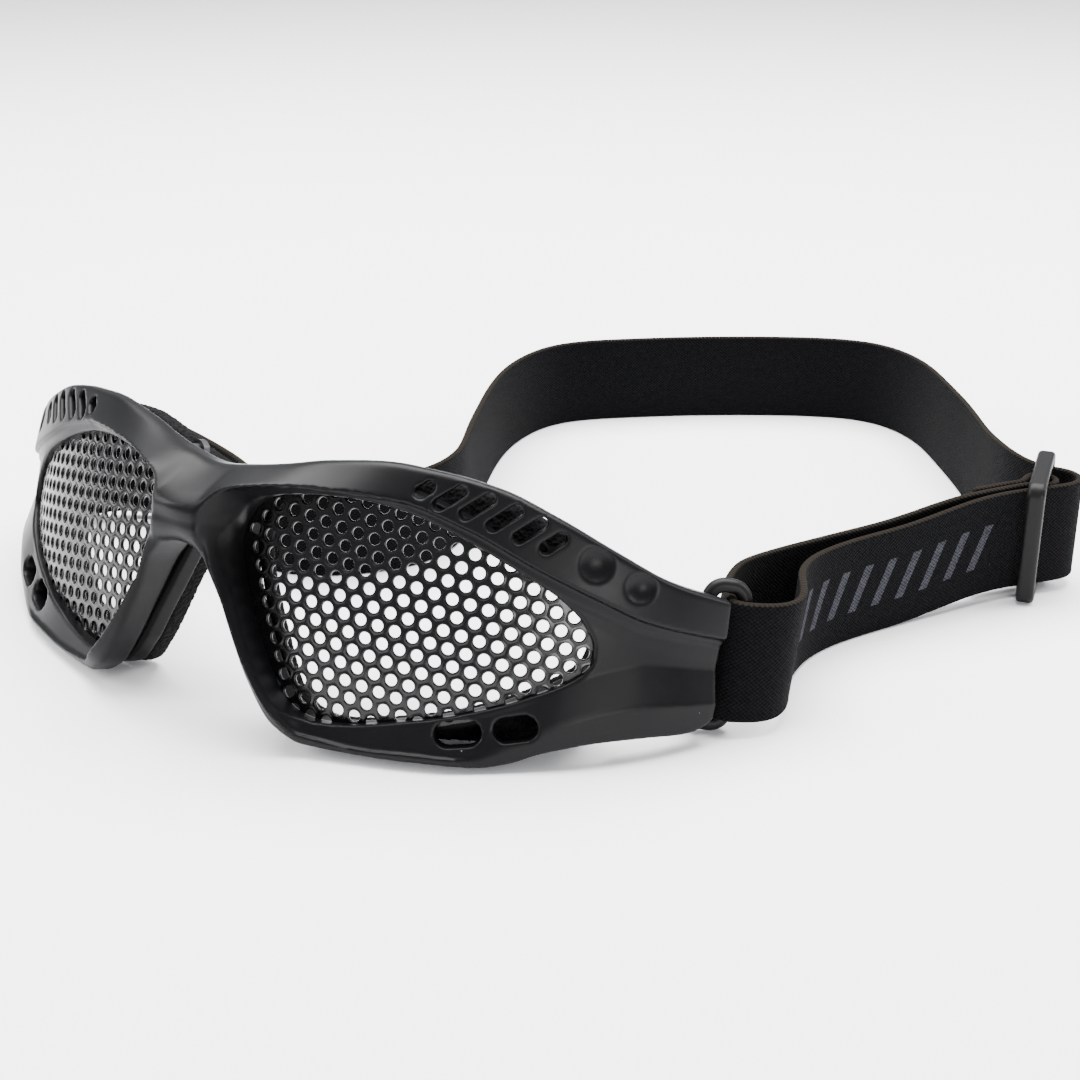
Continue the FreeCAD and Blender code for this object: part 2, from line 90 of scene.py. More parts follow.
SLIDER_LENGTH = 22.5
SLIDER_HEIGHT = 24.4
SLIDER_LIFT = 2.2
LOOP_LIFT = 2.1
ROUTE_BAR_Y = 46.2
STITCHES_PER_ROW = 8
STITCH_SPAN = 14.3
BROW_SLOT_WIDTH = 2.0
BROW_SLOT_SLOPE = 41.0
DIMPLE_DEPTH = 1.0
DISH_FLOOR = 1.0                # d of the dished band round the lens opening
NOSE_RISE = 9.4                 # how much further out it is at the nose
BROW_CREASE = 0.85              # depth of the steps along the brow and the cheek
SECOND_BROW_CREASE = 0.5
CHEEK_CREASE = 0.7

BROW_TOP = [(0, 36.0, 3.2), (7, 37.0, 3.2), (12, 38.1, 2.3), (20, 40.2, 1.5), (33, 42.0, 1.6),
            (41, 41.8, 2.0), (49, 40.9, 2.4), (59, 37.9, 2.6), (69, 34.0, 2.7), (79, 30.3, 2.7),
            (90, 28.2, 2.6)]
BROW_RIDGE = [(0, 29.5, 12.0), (3.8, 30.0, 11.4), (6.2, 32.6, 10.1), (10, 34.2, 8.9),
              (20, 36.0, 5.7), (33, 36.5, 3.3), (45, 34.1, 2.6), (57, 29.8, 2.6),
              (67, 26.5, 2.7), (75, 24.0, 2.7), (90, 22.0, 2.6)]
LOWER_RIDGE = [(0, 23.6, 8.8), (3.8, 23.2, 9.1), (6.2, 20.9, 8.9), (9.4, 14.2, 6.9),
               (14.4, 5.5, 6.6), (19, -0.4, 6.4), (24, -4.0, 4.6), (32, -4.2, 3.9),
               (42, -3.2, 3.8), (51, -2.3, 3.8), (57, 0.2, 3.7), (64, 5.1, 3.6), (70, 8.0, 3.5),
               (77, 10.1, 3.4), (90, 11.4, 3.3)]
BOTTOM_EDGE = [(0, 22.8, 7.6), (3.8, 22.2, 7.8), (6.2, 19.4, 7.6), (9.4, 12.6, 5.6),
               (14.4, 2.6, 5.0), (19, -3.4, 4.6), (24, -5.7, 3.4), (34, -5.3, 2.9),
               (44, -4.4, 2.9), (52, -3.5, 2.9), (57, -2.0, 2.9), (62, 0.5, 2.8), (71, 3.5, 2.8),
               (78, 4.9, 2.7), (86, 6.2, 2.6), (90, 8.7, 2.6)]
EYE = [(6.4, 26.0), (9.2, 31.4), (16, 34.0), (25, 35.2), (34, 34.8), (42, 33.0), (49, 30.6),
       (56, 27.8), (61, 25.4), (65, 22.4), (67.6, 18.4), (66.4, 14.0), (57, 8.2), (47, 3.9),
       (39, 1.4), (31, -0.8), (24, -1.5), (19, 0.4), (14.6, 6.1), (10.6, 13.6), (7.3, 21.0)]
BROW_SLOTS = [(37.2, 38.8, 3.6), (41.4, 38.3, 6.2), (45.9, 37.7, 6.5), (50.4, 36.7, 6.5),
              (54.6, 35.5, 6.2), (58.4, 34.1, 4.8)]
CHEEK_VENTS = [(48.6, 1.5, 7.5, 4.2, 14.0), (57.4, 3.9, 7.0, 4.0, 17.0)]
DIMPLES = [(65.5, 31.8, 2.9), (73.0, 29.1, 2.6)]
SCREW_PLACES = [(11.2, 36.0), (29.5, 38.2), (56, 31.4), (64.2, 7.7)]

# the strap's route at mid height, x and y on the table
STRAP_ROUTE = [(-58.2, 59.75), (-65.7, 59.5), (-71.6, 56.2), (-74.2, 51.2), (-74.6, 47.4),
               (-75.3, 44.4), (-77.0, 43.7), (-78.7, 44.4), (-79.4, 46.4), (-78.2, 51.6),
               (-73.3, 57.8), (-66.0, 61.1), (-58.0, 61.3), (-47, 59), (-37, 55), (-28, 51.8),
               (-18.5, 54.6), (-9.2, 63.2), (-4.6, 73), (-5.4, 84), (-10.8, 95.5),
               (-17.4, 109), (-24.4, 125), (-28.3, 140), (-26.6, 155), (-16, 167.2),
               (-1.2, 179), (19, 191.8), (36, 197), (50, 190.8), (61, 179), (71, 166.4),
               (81, 151.6), (88.4, 141), (94, 136.2), (98.6, 134.5), (102.6, 134.6),
               (105.6, 132.8), (106.0, 129.4), (103.7, 125.6), (100.3, 121.4), (96.4, 116.0),
               (91.4, 107), (86.2, 97.4), (81.0, 87), (77.9, 77.5), (77.8, 70.5), (79.7, 63.5),
               (82.6, 57.2), (84.0, 52.2), (82.7, 47.8), (79.2, 44.3), (77.0, 43.7),
               (75.1, 44.5), (74.3, 46.3), (72.0, 49.4), (69.8, 55.5), (68.7, 62.5), (69.4, 69),
               (71.8, 76.4), (76.6, 86.4), (82.0, 97.0), (87.4, 106.6), (92.6, 114.6),
               (97.2, 121.6), (100.0, 124.95), (101.95, 125.95), (102.6, 128.2),
               (101.2, 130.0), (98.9, 130.0), (97.3, 128.2), (97.3, 125.1), (95.5, 122.2),
               (93.2, 118.7), (91.1, 115.5)]

COS, SIN = math.cos(LEAN_BACK), math.sin(LEAN_BACK)
pivot = next(j["pos_m"] for j in frame["joints"] if j["name"] == "loop_left_swivel")
SHIFT_X = pivot[0] / MM - LOOP_PIVOT[0]
SHIFT_Y = pivot[1] / MM - (COS * LOOP_PIVOT[1] + SIN * LOOP_MIDDLE)


# ---------------------------------------------------------------- curves and coordinates

def angle_at(s):
    return WRAP_LINEAR * s + WRAP_CUBIC * s ** 3


plan_s = np.linspace(-100, 100, 8001)
plan_step = plan_s[1] - plan_s[0]
plan_x = np.concatenate([[0], np.cumsum(np.cos(angle_at(plan_s[:-1] + plan_step / 2)))]) * plan_step
plan_y = np.concatenate([[0], np.cumsum(np.sin(angle_at(plan_s[:-1] + plan_step / 2)))]) * plan_step
plan_x -= np.interp(0, plan_s, plan_x)
plan_y -= np.interp(0, plan_s, plan_y)


def to_row(x, y, z):
    """Upright x, y and z to the CAD model's frame, metres."""
    return np.stack([x + SHIFT_X, COS * y + SIN * z + SHIFT_Y, COS * z - SIN * y + CHEEK_DROP], -1) * MM


def face_plan(s, z, d):
    """Upright x and y of a place on the face."""
    angle = angle_at(s)
    out = d - (z - DOME_MIDDLE) ** 2 / (2 * DOME_RADIUS)
    x = np.interp(s, plan_s, plan_x) + np.sin(angle) * out
    y = np.interp(s, plan_s, plan_y) - np.cos(angle) * out
    return x, y


def face_to_row(s, z, d):
    return to_row(*face_plan(s, z, d), z)


def pchip(xs, ys, at):
    """Monotone cubic through the points, level at its start."""
    xs, ys = np.asarray(xs, float), np.asarray(ys, float)
    step, rise = np.diff(xs), np.diff(ys)
    slope = rise / step
    tangent = np.zeros(len(xs))
    same = slope[:-1] * slope[1:] > 0
    w1, w2 = 2 * step[1:] + step[:-1], step[1:] + 2 * step[:-1]
    with np.errstate(divide="ignore", invalid="ignore"):
        middle = (w1 + w2) / (w1 / slope[:-1] + w2 / slope[1:])
    tangent[1:-1] = np.where(same, middle, 0)
    tangent[-1] = slope[-1]
    i = np.clip(np.searchsorted(xs, at) - 1, 0, len(xs) - 2)
    t = (at - xs[i]) / step[i]
    return ((1 + 2 * t) * (1 - t) ** 2 * ys[i] + t * (1 - t) ** 2 * step[i] * tangent[i]
            + t * t * (3 - 2 * t) * ys[i + 1] + t * t * (t - 1) * step[i] * tangent[i + 1])


def rail(points, s):
    s = np.abs(s)
    xs = [p[0] for p in points]
    return pchip(xs, [p[1] for p in points], s), pchip(xs, [p[2] for p in points], s)


def closed_curve(points, per_span=8):
    """Smooth closed curve through the points."""
    p = np.asarray(points, float)
    t = np.linspace(0, 1, per_span, endpoint=False)[:, None]
    before, after, beyond = np.roll(p, 1, 0), np.roll(p, -1, 0), np.roll(p, -2, 0)
    spans = [0.5 * (2 * b + (c - a) * t + (2 * a - 5 * b + 4 * c - d) * t ** 2
                    + (3 * b - a - 3 * c + d) * t ** 3)
             for a, b, c, d in zip(before, p, after, beyond)]
    return np.concatenate(spans)


def polygon_distance(polygon, s, z):
    """Signed distance to a closed polygon, negative inside."""
    a, b = polygon, np.roll(polygon, -1, 0)
    nearest = np.full(s.shape, 1e9)
    inside = np.zeros(s.shape, bool)
    for (ax, az), (bx, bz) in zip(a, b):
        dx, dz = bx - ax, bz - az
        t = np.clip(((s - ax) * dx + (z - az) * dz) / (dx * dx + dz * dz), 0, 1)
        nearest = np.minimum(nearest, np.hypot(s - ax - t * dx, z - az - t * dz))
        if az != bz:
            crosses = ((az > z) != (bz > z)) & (s < dx * (z - az) / dz + ax)
            inside ^= crosses
    return np.where(inside, -nearest, nearest)


def stadium_distance(s, z, at_s, at_z, length, width, slope):
    c, n = math.cos(slope), math.sin(slope)
    a = (s - at_s) * c + (z - at_z) * n
    b = -(s - at_s) * n + (z - at_z) * c
    return np.hypot(np.maximum(np.abs(a) - (length - width) / 2, 0), b) - width / 2


def smooth_step(t):
    t = np.clip(t, 0, 1)
    return t * t * (3 - 2 * t)


def smooth_max(a, b, r):
    h = np.clip(0.5 + 0.5 * (a - b) / r, 0, 1)
    return b + (a - b) * h + r * h * (1 - h)


def smooth_min(a, b, r):
    return -smooth_max(-a, -b, r)


def neighbours(axis):
    """Indices of a grid's samples and of the next ones along an axis."""
    here, after = [slice(None)] * 3, [slice(None)] * 3
    here[axis], after[axis] = slice(0, -1), slice(1, None)
    return tuple(here), tuple(after)


def surface_net(field, low, step):
    """Points and quads where a field sampled from the corner low crosses zero. Inside is negative."""
    sign = field < 0
    shape = field.shape
    total = np.zeros(tuple(n - 1 for n in shape) + (3,))
    count = np.zeros(tuple(n - 1 for n in shape))
    axes = (0, 1, 2)
    for axis in axes:
        here, after = neighbours(axis)
        fa, fb = field[here], field[after]
        cross = sign[here] != sign[after]
        with np.errstate(divide="ignore", invalid="ignore"):
            t = np.where(cross, fa / (fa - fb), 0)
        others = [x for x in axes if x != axis]
        for du in (0, 1):
            for dv in (0, 1):
                take = [slice(None)] * 3
                take[others[0]] = slice(du, shape[others[0]] - 1 + du)
                take[others[1]] = slice(dv, shape[others[1]] - 1 + dv)
                c = cross[tuple(take)]
                count += c
                total[..., axis] += t[tuple(take)] * c
                total[..., others[0]] += du * c
                total[..., others[1]] += dv * c
    filled = count > 0
    index = np.full(count.shape, -1)
    index[filled] = np.arange(filled.sum())
    cells = np.argwhere(filled)
    points = (cells + total[filled] / count[filled][:, None]) * step + np.asarray(low)
    faces = []
    for axis in axes:
        here, after = neighbours(axis)
        cross = sign[here] != sign[after]
        others = [x for x in axes if x != axis]
        place = np.argwhere(cross)
        keep = (place[:, others[0]] > 0) & (place[:, others[1]] > 0)
        keep &= (place[:, others[0]] < shape[others[0]] - 1) & (place[:, others[1]] < shape[others[1]] - 1)
        place = place[keep]
        corner = []
        for du, dv in ((1, 1), (0, 1), (0, 0), (1, 0)):
            q = place.copy()
            q[:, others[0]] -= du
            q[:, others[1]] -= dv
            corner.append(index[q[:, 0], q[:, 1], q[:, 2]])
        quad = np.stack(corner, -1)
        starts_inside = sign[tuple(place.T)]
        flip = starts_inside if axis != 1 else ~starts_inside
        quad[~flip] = quad[~flip][:, ::-1]
        faces.append(quad)
    return points, np.concatenate(faces)


# ---------------------------------------------------------------- mesh helpers

def make_mesh(name, points, faces, material, uv=None):
    mesh = bpy.data.meshes.new(name)
    points = np.asarray(points, np.float32)
    faces = np.asarray(faces)
    mesh.vertices.add(len(points))
    mesh.vertices.foreach_set("co", points.ravel())
    corners = faces.shape[1]
    mesh.loops.add(faces.size)
    mesh.loops.foreach_set("vertex_index", faces.ravel().astype(np.int32))
    mesh.polygons.add(len(faces))
    mesh.polygons.foreach_set("loop_start", np.arange(0, faces.size, corners, dtype=np.int32))
    mesh.update(calc_edges=True)
    if uv is not None:
        layer = mesh.uv_layers.new(name="cloth")
        layer.data.foreach_set("uv", np.asarray(uv, np.float32)[faces.ravel()].ravel())
    mesh.polygons.foreach_set("use_smooth", np.ones(len(faces), bool))
    mesh.validate()
    thing = bpy.data.objects.new(name, mesh)
    bpy.context.scene.collection.objects.link(thing)
    mesh.materials.append(material)
    return thing


def relax(thing, rounds, strength=0.5):
    """Evens out small facets without shrinking: each round pulls in and then pushes back out."""
    mesh = thing.data
    count = len(mesh.vertices)
    points = np.zeros(count * 3)
    mesh.vertices.foreach_get("co", points)
    points = points.reshape(-1, 3)
    edges = np.zeros(len(mesh.edges) * 2, np.int64)
    mesh.edges.foreach_get("vertices", edges)
    edges = edges.reshape(-1, 2)
    degree = np.bincount(edges.ravel(), minlength=count)[:, None]
    for i in range(rounds):
        for pull in (strength, -strength - 0.03):
            total = np.zeros_like(points)
            for k in range(3):
                total[:, k] = (np.bincount(edges[:, 0], points[edges[:, 1], k], count)
                               + np.bincount(edges[:, 1], points[edges[:, 0], k], count))
            points += pull * (total / np.maximum(degree, 1) - points)
    mesh.vertices.foreach_set("co", points.astype(np.float32).ravel())
    mesh.update()


def both_sides(s, z, d, faces):
    """The left shape and its mirror image in the model's frame, with faces turned to match."""
    return (face_to_row(s, z, d), faces), (face_to_row(-s, z, d), faces[:, ::-1])


# ---------------------------------------------------------------- materials

def nodes_of(name):
    material = bpy.data.materials.new(name)
    material.use_nodes = True
    tree = material.node_tree
    return material, tree, tree.nodes["Principled BSDF"]


def set_inputs(shader, **values):
    for key, value in values.items():
        shader.inputs[key.replace("_", " ")].default_value = value


def node(tree, kind, **inputs):
    made = tree.nodes.new(kind)
    set_inputs(made, **inputs)
    return made


def link(tree, start, out, end, into):
    tree.links.new(start.outputs[out], end.inputs[into])


def ramp(tree, source, out, stops):
    made = tree.nodes.new("ShaderNodeValToRGB")
    while len(made.color_ramp.elements) < len(stops):
        made.color_ramp.elements.new(0.5)
    for element, (place, colour) in zip(made.color_ramp.elements, stops):
        element.position = place
        element.color = colour if len(colour) == 4 else (*colour, 1)
    link(tree, source, out, made, "Fac")
    return made


def grey(value):
    return (value, value, value, 1)


def moulded_plastic(name, colour, roughness, grain=0.12, specks=True, specular=0.11):
    """Black moulded plastic: fine grain, an uneven sheen and, on request, dust specks."""
    material, tree, surface = nodes_of(name)
    place = node(tree, "ShaderNodeTexCoord")
    fine = node(tree, "ShaderNodeTexNoise", Scale=5200.0, Detail=2.0)
    broad = node(tree, "ShaderNodeTexNoise", Scale=90.0, Detail=4.0)
    link(tree, place, "Object", fine, "Vector")
    link(tree, place, "Object", broad, "Vector")
    rough = ramp(tree, broad, "Fac", [(0.3, grey(roughness - 0.05)), (0.7, grey(roughness + 0.06))])
    link(tree, rough, "Color", surface, "Roughness")
    bump = node(tree, "ShaderNodeBump", Strength=grain, Distance=0.00006)
    link(tree, fine, "Fac", bump, "Height")
    link(tree, bump, "Normal", surface, "Normal")
    set_inputs(surface, Specular_IOR_Level=specular)
    if specks:
        dust = node(tree, "ShaderNodeTexVoronoi", Scale=330.0, Randomness=1.0)
        link(tree, place, "Object", dust, "Vector")
        spot = ramp(tree, dust, "Distance", [(0.0, grey(1.0)), (0.045, grey(0.0))])
        chance = ramp(tree, dust, "Color", [(0.80, grey(0.0)), (0.84, grey(1.0))])
        both = node(tree, "ShaderNodeMath")
        both.operation = "MULTIPLY"
        link(tree, spot, "Color", both, 0)
        link(tree, chance, "Color", both, 1)
        mix = node(tree, "ShaderNodeMixRGB", Color1=(*colour, 1), Color2=(0.32, 0.31, 0.29, 1))
        link(tree, both, "Value", mix, "Fac")
        link(tree, mix, "Color", surface, "Base Color")
    else:
        set_inputs(surface, Base_Color=(*colour, 1))
    return material


def painted_steel():
    material, tree, surface = nodes_of("lens_steel")
    set_inputs(surface, Base_Color=(0.0012, 0.0012, 0.0014, 1), Specular_IOR_Level=0.22,
               Coat_Weight=0.08, Coat_Roughness=0.08)
    place = node(tree, "ShaderNodeTexCoord")
    noise = node(tree, "ShaderNodeTexNoise", Scale=700.0, Detail=3.0)
    link(tree, place, "Object", noise, "Vector")
    rough = ramp(tree, noise, "Fac", [(0.3, grey(0.16)), (0.7, grey(0.30))])
    link(tree, rough, "Color", surface, "Roughness")
    bump = node(tree, "ShaderNodeBump", Strength=0.25, Distance=0.00006)
    link(tree, noise, "Fac", bump, "Height")
    link(tree, bump, "Normal", surface, "Normal")
    return material


def foam_material():
    material, tree, surface = nodes_of("foam")
    place = node(tree, "ShaderNodeTexCoord")
    cells = node(tree, "ShaderNodeTexVoronoi", Scale=1500.0)
    fluff = node(tree, "ShaderNodeTexNoise", Scale=600.0, Detail=6.0)
    link(tree, place, "Object", cells, "Vector")
    link(tree, place, "Object", fluff, "Vector")
    tone = ramp(tree, cells, "Distance", [(0.1, (0.001, 0.001, 0.0011)), (0.75, (0.006, 0.006, 0.0064))])
    link(tree, tone, "Color", surface, "Base Color")
    set_inputs(surface, Roughness=0.95, Sheen_Weight=0.015, Specular_IOR_Level=0.05)
    add = node(tree, "ShaderNodeMath")
    add.operation = "ADD"
    link(tree, cells, "Distance", add, 0)
    link(tree, fluff, "Fac", add, 1)
    bump = node(tree, "ShaderNodeBump", Strength=0.8, Distance=0.0003)
    link(tree, add, "Value", bump, "Height")
    link(tree, bump, "Normal", surface, "Normal")
    return material


def strap_material(bar_start, bar_end, bar_pitch=0.0056):
    """Black knitted elastic. u is metres along the strap and v metres across, both in the UV map.

    The woven bars run between two distances from the sewn end.
    """
    material, tree, surface = nodes_of("elastic")
    place = node(tree, "ShaderNodeUVMap")
    place.uv_map = "cloth"
    split = node(tree, "ShaderNodeSeparateXYZ")
    link(tree, place, "UV", split, "Vector")
    length, across = (split, "X"), (split, "Y")

    def math_node(kind, first, second=None, third=None):
        made = node(tree, "ShaderNodeMath")
        made.operation = kind
        for i, value in enumerate((first, second, third)):
            if isinstance(value, (int, float)):
                made.inputs[i].default_value = value
            elif value is not None:
                link(tree, value[0], value[1], made, i)
        return made, "Value"

    # knit: short rows across the strap, each broken into offset loops
    wobble = node(tree, "ShaderNodeTexNoise", Scale=900.0, Detail=2.0)
    link(tree, place, "UV", wobble, "Vector")
    shaken = math_node("MULTIPLY_ADD", (wobble, "Fac"), 0.0005, length)
    rows = math_node("SINE", math_node("MULTIPLY", shaken, 2 * math.pi / 0.00085))
    columns = math_node("SINE", math_node("MULTIPLY", across, 2 * math.pi / 0.0007))
    loops = math_node("MULTIPLY", rows, columns)
    knit = math_node("MULTIPLY_ADD", loops, 0.5, (wobble, "Fac"))
    bump = node(tree, "ShaderNodeBump", Strength=0.75, Distance=0.00025)
    link(tree, knit[0], knit[1], bump, "Height")
    link(tree, bump, "Normal", surface, "Normal")
    tone = ramp(tree, *knit, [(0.1, (0.0009, 0.0009, 0.0011)), (0.9, (0.004, 0.004, 0.0045))])

    # woven band of slanted grey bars along the middle of the outer run
    leaned = math_node("MULTIPLY_ADD", across, 0.45, length)
    turn = math_node("FRACT", math_node("DIVIDE", leaned, bar_pitch))
    bars = math_node("LESS_THAN", turn, 0.34)
    middle = math_node("LESS_THAN", math_node("ABSOLUTE", across), 0.0042)
    starts = math_node("GREATER_THAN", length, bar_start)
    ends = math_node("LESS_THAN", length, bar_end)
    face = node(tree, "ShaderNodeAttribute")
    face.attribute_name = "outer"
    mask = math_node("MULTIPLY", bars, middle)
    for part in (starts, ends, (face, "Fac")):
        mask = math_node("MULTIPLY", mask, part)
    fleck = ramp(tree, *knit, [(0.0, (0.010, 0.010, 0.013)), (0.9, (0.042, 0.042, 0.050))])
    marked = node(tree, "ShaderNodeMixRGB")
    link(tree, mask[0], mask[1], marked, "Fac")
    link(tree, tone, "Color", marked, "Color1")
    link(tree, fleck, "Color", marked, "Color2")

    # brown-black binding yarn along both edges
    edge = math_node("GREATER_THAN", math_node("ABSOLUTE", across), 0.00972)
    binding = node(tree, "ShaderNodeMixRGB", Color2=(0.0105, 0.0082, 0.0064, 1))
    link(tree, edge[0], edge[1], binding, "Fac")
    link(tree, marked, "Color", binding, "Color1")
    link(tree, binding, "Color", surface, "Base Color")
    set_inputs(surface, Roughness=0.95, Specular_IOR_Level=0.04, Sheen_Weight=0.012)
    return material


def plain_material(name, colour, roughness, metallic=0.0):
    material, tree, surface = nodes_of(name)
    set_inputs(surface, Base_Color=(*colour, 1), Metallic=metallic)
    place = node(tree, "ShaderNodeTexCoord")
    noise = node(tree, "ShaderNodeTexNoise", Scale=1200.0, Detail=4.0)
    link(tree, place, "Object", noise, "Vector")
    rough = ramp(tree, noise, "Fac", [(0.3, grey(roughness - 0.08)), (0.7, grey(roughness + 0.08))])
    link(tree, rough, "Color", surface, "Roughness")
    return material


frame_plastic = moulded_plastic("frame_plastic", (0.0018, 0.0018, 0.0021), 0.37)
retainer_plastic = moulded_plastic("retainer_plastic", (0.0016, 0.0016, 0.0018), 0.45, specks=False,
                                   specular=0.035)
loop_plastic = moulded_plastic("loop_plastic", (0.0045, 0.0042, 0.0045), 0.40, specks=False)
slider_plastic = moulded_plastic("slider_plastic", (0.0045, 0.0043, 0.0046), 0.42, specks=False)
lens_steel = painted_steel()
foam = foam_material()
screw_steel = plain_material("screw_steel", (0.08, 0.08, 0.085), 0.38, 1.0)
thread = plain_material("thread", (0.016, 0.016, 0.018), 0.8)


# ---------------------------------------------------------------- front frame

eye_outline = closed_curve(EYE)


def frame_field(s, z, d):
    """Distance-like field of the left half of the front frame, in face coordinates."""
    top_z, top_d = rail(BROW_TOP, s)
    ridge_z, ridge_d = rail(BROW_RIDGE, s)
    low_z, low_d = rail(LOWER_RIDGE, s)
    end_z, end_d = rail(BOTTOM_EDGE, s)
    eye = eye_distance[..., None]
    nose = np.clip((9.0 - s) / 5.0, 0, 1)
    # upper facet, dished middle and lower facet
    upper = ridge_d + (top_d - ridge_d) * (z - ridge_z) / np.maximum(top_z - ridge_z, 0.5)
    lower = low_d + (end_d - low_d) * (low_z - z) / np.maximum(low_z - end_z, 0.5)
    reach = np.maximum(ridge_z - z, 0)
    rise = np.maximum(z - low_z, 0)
    room = np.maximum(ridge_z - low_z, 1.0)
    dish_floor = DISH_FLOOR + NOSE_RISE * nose * nose * (3 - 2 * nose)
    share_up = np.clip(reach / np.minimum(room * 0.5, 4.5), 0, 1)
    share_low = np.clip(rise / np.minimum(room * 0.5, 7.0), 0, 1)
    crease = smooth_step((s - 5.0) / 5.0)
    step_up = BROW_CREASE * crease * np.clip(reach / 0.45, 0, 1)
    second = 2.4 - 1.3 * np.clip((s - 56) / 30, 0, 1)
    step_up = step_up + SECOND_BROW_CREASE * smooth_step((s - 47) / 8) * np.clip((reach - second) / 0.4, 0, 1)
    step_low = CHEEK_CREASE * crease * np.clip(rise / 0.45, 0, 1)
    from_top = ridge_d - step_up - (ridge_d - step_up - dish_floor) * share_up ** 0.9
    from_low = low_d - step_low - (low_d - step_low - dish_floor) * share_low ** 0.9
    dish = np.maximum(np.maximum(from_top, from_low), dish_floor)
    soft = 0.3 + 2.6 * (1 - smooth_step((s - 4.0) / 7.0))
    front = smooth_min(smooth_min(upper, dish, soft), lower, soft)
    back = LENS_BACK + (TEMPLE_BACK - LENS_BACK) * np.clip((s - TEMPLE_START) / 0.5, 0, 1)
    solid = smooth_max((d - front) * 0.8, (back - d), 0.5)
    rim = np.maximum(z - top_z, end_z - z)
    solid = smooth_max(solid, rim, 0.9)
    solid = smooth_max(solid, s - TEMPLE_END, 0.8)
    solid = smooth_max(solid, -eye, 0.35)
    cuts = slot_distance[..., None]
    solid = smooth_max(solid, -cuts, 0.3)
    for at_s, at_z, radius in DIMPLES:
        ball = (radius ** 2 + DIMPLE_DEPTH ** 2) / (2 * DIMPLE_DEPTH)
        height = d - 2.62 + (z - at_z) * 0.02 - ball + DIMPLE_DEPTH
        hollow = np.sqrt((s - at_s) ** 2 + (z - at_z) ** 2 + height ** 2) - ball
        solid = smooth_max(solid, -hollow, 0.08)
    return solid


step = 0.34
grid_s = np.arange(-1.5 * step, TEMPLE_END + 2, step)
grid_z = np.arange(-8.0, 45.0, step)
grid_d = np.arange(-3.0, 13.5, step)
flat_s, flat_z = np.meshgrid(grid_s, grid_z, indexing="ij")
eye_distance = polygon_distance(eye_outline, flat_s, flat_z)
slot_distance = np.full(flat_s.shape, 1e3)
for at_s, at_z, length in BROW_SLOTS:
    slot_distance = np.minimum(slot_distance, stadium_distance(
        flat_s, flat_z, at_s, at_z, length, BROW_SLOT_WIDTH, math.radians(BROW_SLOT_SLOPE)))
for at_s, at_z, length, height, slope in CHEEK_VENTS:
    slot_distance = np.minimum(slot_distance, stadium_distance(
        flat_s, flat_z, at_s, at_z, length, height, math.radians(slope)))


def half_net(field_function, s_values, z_values, d_values, spacing):
    s3, z3, d3 = np.meshgrid(s_values, z_values, d_values, indexing="ij")
    field = field_function(s3, z3, d3)
    return surface_net(field, (s_values[0], z_values[0], d_values[0]), spacing)


def whole_frame():
    points, faces = half_net(frame_field, grid_s, grid_z, grid_d, step)
    # the rows on either side of the middle plane meet there
    points[:, 0] = np.where(points[:, 0] < 0.6 * step, np.maximum(points[:, 0], 0), points[:, 0])
    keep = (points[faces][:, :, 0] > 1e-9).any(1)
    faces = faces[keep]
    (left, left_faces), (right, right_faces) = both_sides(points[:, 0], points[:, 1], points[:, 2], faces)
    points = np.concatenate([left, right])
    faces = np.concatenate([left_faces, right_faces + len(left)])
    key = np.round(points / 2e-6).astype(np.int64)
    _, first, back = np.unique(key, axis=0, return_index=True, return_inverse=True)
    back = back.ravel()
    faces = back[faces]
    return points[first], faces


points, faces = whole_frame()
front_frame = make_mesh("front_frame_shell", points, faces, frame_plastic)
relax(front_frame, 4)
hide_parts("front_frame")
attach(front_frame, "frame")


# ---------------------------------------------------------------- tubes, for knuckles and loops

def tube(path, radii, sides):
    """Round tube along a path of points, with a radius at each and both ends closed."""
    path = np.asarray(path, float)
    tangent = np.gradient(path, axis=0)
    tangent /= np.linalg.norm(tangent, axis=1)[:, None]
    normal = np.cross(tangent[0], [0.31, 0.17, 0.93])
    normal /= np.linalg.norm(normal)
    rings = []
    for p, t, r in zip(path, tangent, radii):
        normal = normal - t * normal.dot(t)
        normal /= np.linalg.norm(normal)
        side = np.cross(t, normal)
        a = np.linspace(0, 2 * math.pi, sides, endpoint=False)
        rings.append(p + r * (np.cos(a)[:, None] * normal + np.sin(a)[:, None] * side))
    points = np.concatenate(rings)
    i = np.arange(len(path) - 1)[:, None] * sides
    j = np.arange(sides)[None, :]
    k = (j + 1) % sides
    faces = np.stack([i + j, i + k, i + sides + k, i + sides + j], -1).reshape(-1, 4)
    ends = []
    for base, ring in ((0, path[0]), (len(points) - sides, path[-1])):
        points = np.concatenate([points, [ring]])
        middle = len(points) - 1
        for m in range(sides):
            a, b = base + m, base + (m + 1) % sides
            ends.append([a, middle, middle, b] if base == 0 else [b, middle, middle, a])
    return points, np.concatenate([faces, np.array(ends)])


def clean(thing):
    """Removes doubled corners and makes all the normals point outwards."""
    work = bmesh.new()
    work.from_mesh(thing.data)
    bmesh.ops.remove_doubles(work, verts=work.verts, dist=1e-7)
    bmesh.ops.dissolve_degenerate(work, edges=work.edges, dist=1e-7)
    bmesh.ops.recalc_face_normals(work, faces=work.faces)
    work.to_mesh(thing.data)
    work.free()
    thing.data.polygons.foreach_set("use_smooth", np.ones(len(thing.data.polygons), bool))


def mirrored_tube(name, path, radii, material, bodies, sides):
    """Tube in face coordinates on the left and its mirror image on the right."""
    made = []
    for side, sign, body in (("left", 1, bodies[0]), ("right", -1, bodies[1])):
        p, f = tube(path, radii, sides)
        thing = make_mesh(f"{name}_{side}", to_row(p[:, 0] * sign, p[:, 1], p[:, 2]), f, material)
        clean(thing)
        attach(thing, body)
        made.append(thing)
    return made


